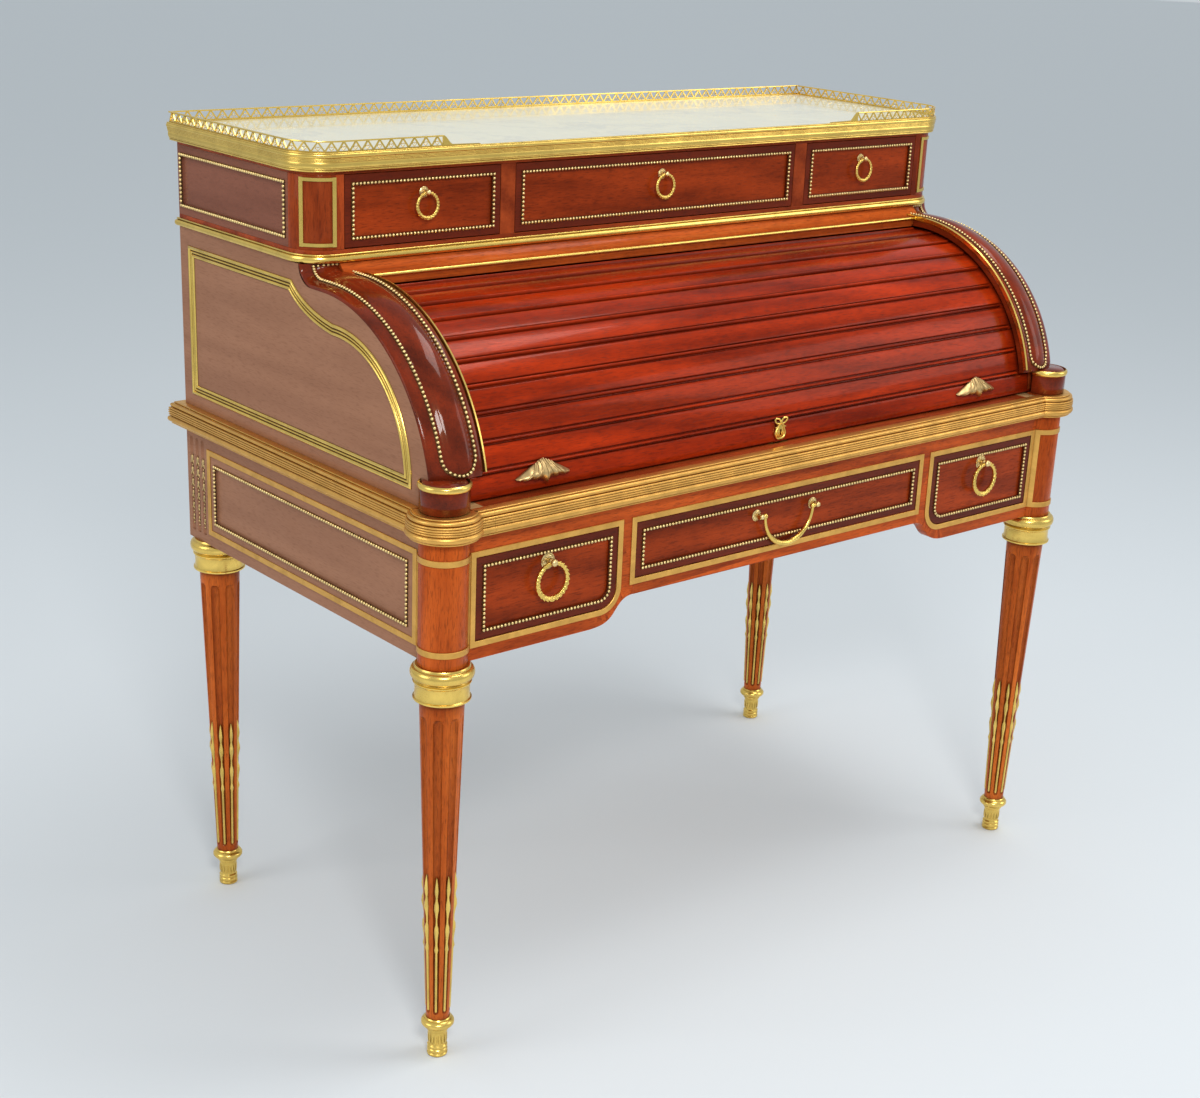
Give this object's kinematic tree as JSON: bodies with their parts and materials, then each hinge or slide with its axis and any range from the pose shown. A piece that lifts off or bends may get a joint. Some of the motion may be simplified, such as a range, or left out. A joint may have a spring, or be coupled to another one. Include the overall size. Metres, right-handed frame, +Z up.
{
  "type": "roll top desk",
  "caption": "Cylinder desk with a roll-down tambour, a pull-out writing slide, frieze and upper drawers, brass mounts, a railed marble top and tapered fluted legs.",
  "frame": {"origin": "on the floor, in the middle of the desk's width and of its overall depth", "axes": "+Z up, +X to the right of someone facing the desk's front, the front faces -Y"},
  "size_m": [1.231, 0.6669, 1.152],
  "materials": {
    "mahogany": "french polished",
    "oak": "plain planed",
    "gilt_brass": "satin gilt",
    "marble": "polished cream marble",
    "leather": "tooled",
    "canvas": "glued canvas",
    "steel": "bright"
  },
  "bodies": {
    "carcass": {"leg_front_left": "mahogany", "leg_front_right": "mahogany", "leg_back_left": "mahogany", "leg_back_right": "mahogany", "flute_husks": "gilt_brass", "leg_sabots": "gilt_brass", "leg_collars": "gilt_brass", "corner_columns": "mahogany", "back_posts": "mahogany", "front_rails": "mahogany", "frieze_boards": "mahogany", "frieze_frames": "gilt_brass", "drawer_runners": "oak", "table_moulding": "gilt_brass", "deck": "oak", "side_panels": "mahogany", "track_cheeks": "oak", "scroll_caps": "mahogany", "scroll_fillets": "gilt_brass", "pearl_mouldings": "gilt_brass", "panel_frames": "gilt_brass", "back_panel": "mahogany", "cavetto_rail": "mahogany", "upper_boards": "mahogany", "belt_moulding": "gilt_brass", "upper_walls": "mahogany", "upper_corner_posts": "mahogany", "cornice_band": "gilt_brass", "marble_top": "marble", "gallery": "gilt_brass", "pigeonhole_case": "mahogany"},
    "slide": {"writing_slide": "mahogany", "slide_leather": "leather", "slide_brass": "gilt_brass"},
    "tambour": {"tambour_slats": "mahogany", "tambour_canvas": "canvas", "tambour_handles": "gilt_brass", "tambour_escutcheon": "gilt_brass"},
    "lock_bolt": {"lock_bolt": "steel"},
    "drawer_left": {"drawer_left": "mahogany", "drawer_left_brass": "gilt_brass"},
    "drawer_left_ring": {"drawer_left_ring": "gilt_brass"},
    "drawer_right": {"drawer_right": "mahogany", "drawer_right_brass": "gilt_brass"},
    "drawer_right_ring": {"drawer_right_ring": "gilt_brass"},
    "drawer_centre": {"drawer_centre": "mahogany", "drawer_centre_brass": "gilt_brass"},
    "drawer_centre_bail": {"drawer_centre_bail": "gilt_brass"},
    "upper_drawer_left": {"upper_drawer_left": "mahogany", "upper_drawer_left_brass": "gilt_brass"},
    "upper_drawer_left_ring": {"upper_drawer_left_ring": "gilt_brass"},
    "upper_drawer_centre": {"upper_drawer_centre": "mahogany", "upper_drawer_centre_brass": "gilt_brass"},
    "upper_drawer_centre_ring": {"upper_drawer_centre_ring": "gilt_brass"},
    "upper_drawer_right": {"upper_drawer_right": "mahogany", "upper_drawer_right_brass": "gilt_brass"},
    "upper_drawer_right_ring": {"upper_drawer_right_ring": "gilt_brass"},
    "small_drawer_left": {"small_drawer_left": "mahogany"},
    "small_drawer_centre": {"small_drawer_centre": "mahogany"},
    "small_drawer_right": {"small_drawer_right": "mahogany"}
  },
  "joints": [
    {"name": "tambour_roll", "type": "hinge", "parent": "carcass", "child": "tambour", "pos_m": [0, -0.0478, 0.74], "axis": [-1, 0, 0], "range_deg": [0, 74]},
    {"name": "slide_pull", "type": "slide", "parent": "carcass", "child": "slide", "axis": [0, -1, 0], "range_m": [0, 0.22]},
    {"name": "lock_throw", "type": "slide", "parent": "tambour", "child": "lock_bolt", "axis": [0, 0, -1], "range_m": [0, 0.008]},
    {"name": "drawer_left_slide", "type": "slide", "parent": "carcass", "child": "drawer_left", "axis": [0, -1, 0], "range_m": [0, 0.35]},
    {"name": "drawer_left_ring_swing", "type": "hinge", "parent": "drawer_left", "child": "drawer_left_ring", "pos_m": [-0.41684, -0.30795, 0.6652], "axis": [-1, 0, 0], "range_deg": [0, 80]},
    {"name": "drawer_right_slide", "type": "slide", "parent": "carcass", "child": "drawer_right", "axis": [0, -1, 0], "range_m": [0, 0.35]},
    {"name": "drawer_right_ring_swing", "type": "hinge", "parent": "drawer_right", "child": "drawer_right_ring", "pos_m": [0.41684, -0.30795, 0.6652], "axis": [-1, 0, 0], "range_deg": [0, 80]},
    {"name": "drawer_centre_slide", "type": "slide", "parent": "carcass", "child": "drawer_centre", "axis": [0, -1, 0], "range_m": [0, 0.35]},
    {"name": "drawer_centre_bail_swing", "type": "hinge", "parent": "drawer_centre", "child": "drawer_centre_bail", "pos_m": [0, -0.30688, 0.66185], "axis": [-1, 0, 0], "range_deg": [0, 80]},
    {"name": "upper_drawer_left_slide", "type": "slide", "parent": "carcass", "child": "upper_drawer_left", "axis": [0, -1, 0], "range_m": [0, 0.2]},
    {"name": "upper_drawer_left_ring_swing", "type": "hinge", "parent": "upper_drawer_left", "child": "upper_drawer_left_ring", "pos_m": [-0.408, -0.01682, 1.0805], "axis": [-1, 0, 0], "range_deg": [0, 80]},
    {"name": "upper_drawer_centre_slide", "type": "slide", "parent": "carcass", "child": "upper_drawer_centre", "axis": [0, -1, 0], "range_m": [0, 0.2]},
    {"name": "upper_drawer_centre_ring_swing", "type": "hinge", "parent": "upper_drawer_centre", "child": "upper_drawer_centre_ring", "pos_m": [0, -0.01682, 1.0805], "axis": [-1, 0, 0], "range_deg": [0, 80]},
    {"name": "upper_drawer_right_slide", "type": "slide", "parent": "carcass", "child": "upper_drawer_right", "axis": [0, -1, 0], "range_m": [0, 0.2]},
    {"name": "upper_drawer_right_ring_swing", "type": "hinge", "parent": "upper_drawer_right", "child": "upper_drawer_right_ring", "pos_m": [0.408, -0.01682, 1.0805], "axis": [-1, 0, 0], "range_deg": [0, 80]},
    {"name": "small_drawer_left_slide", "type": "slide", "parent": "carcass", "child": "small_drawer_left", "axis": [0, -1, 0], "range_m": [0, 0.1]},
    {"name": "small_drawer_centre_slide", "type": "slide", "parent": "carcass", "child": "small_drawer_centre", "axis": [0, -1, 0], "range_m": [0, 0.1]},
    {"name": "small_drawer_right_slide", "type": "slide", "parent": "carcass", "child": "small_drawer_right", "axis": [0, -1, 0], "range_m": [0, 0.1]}
  ]
}
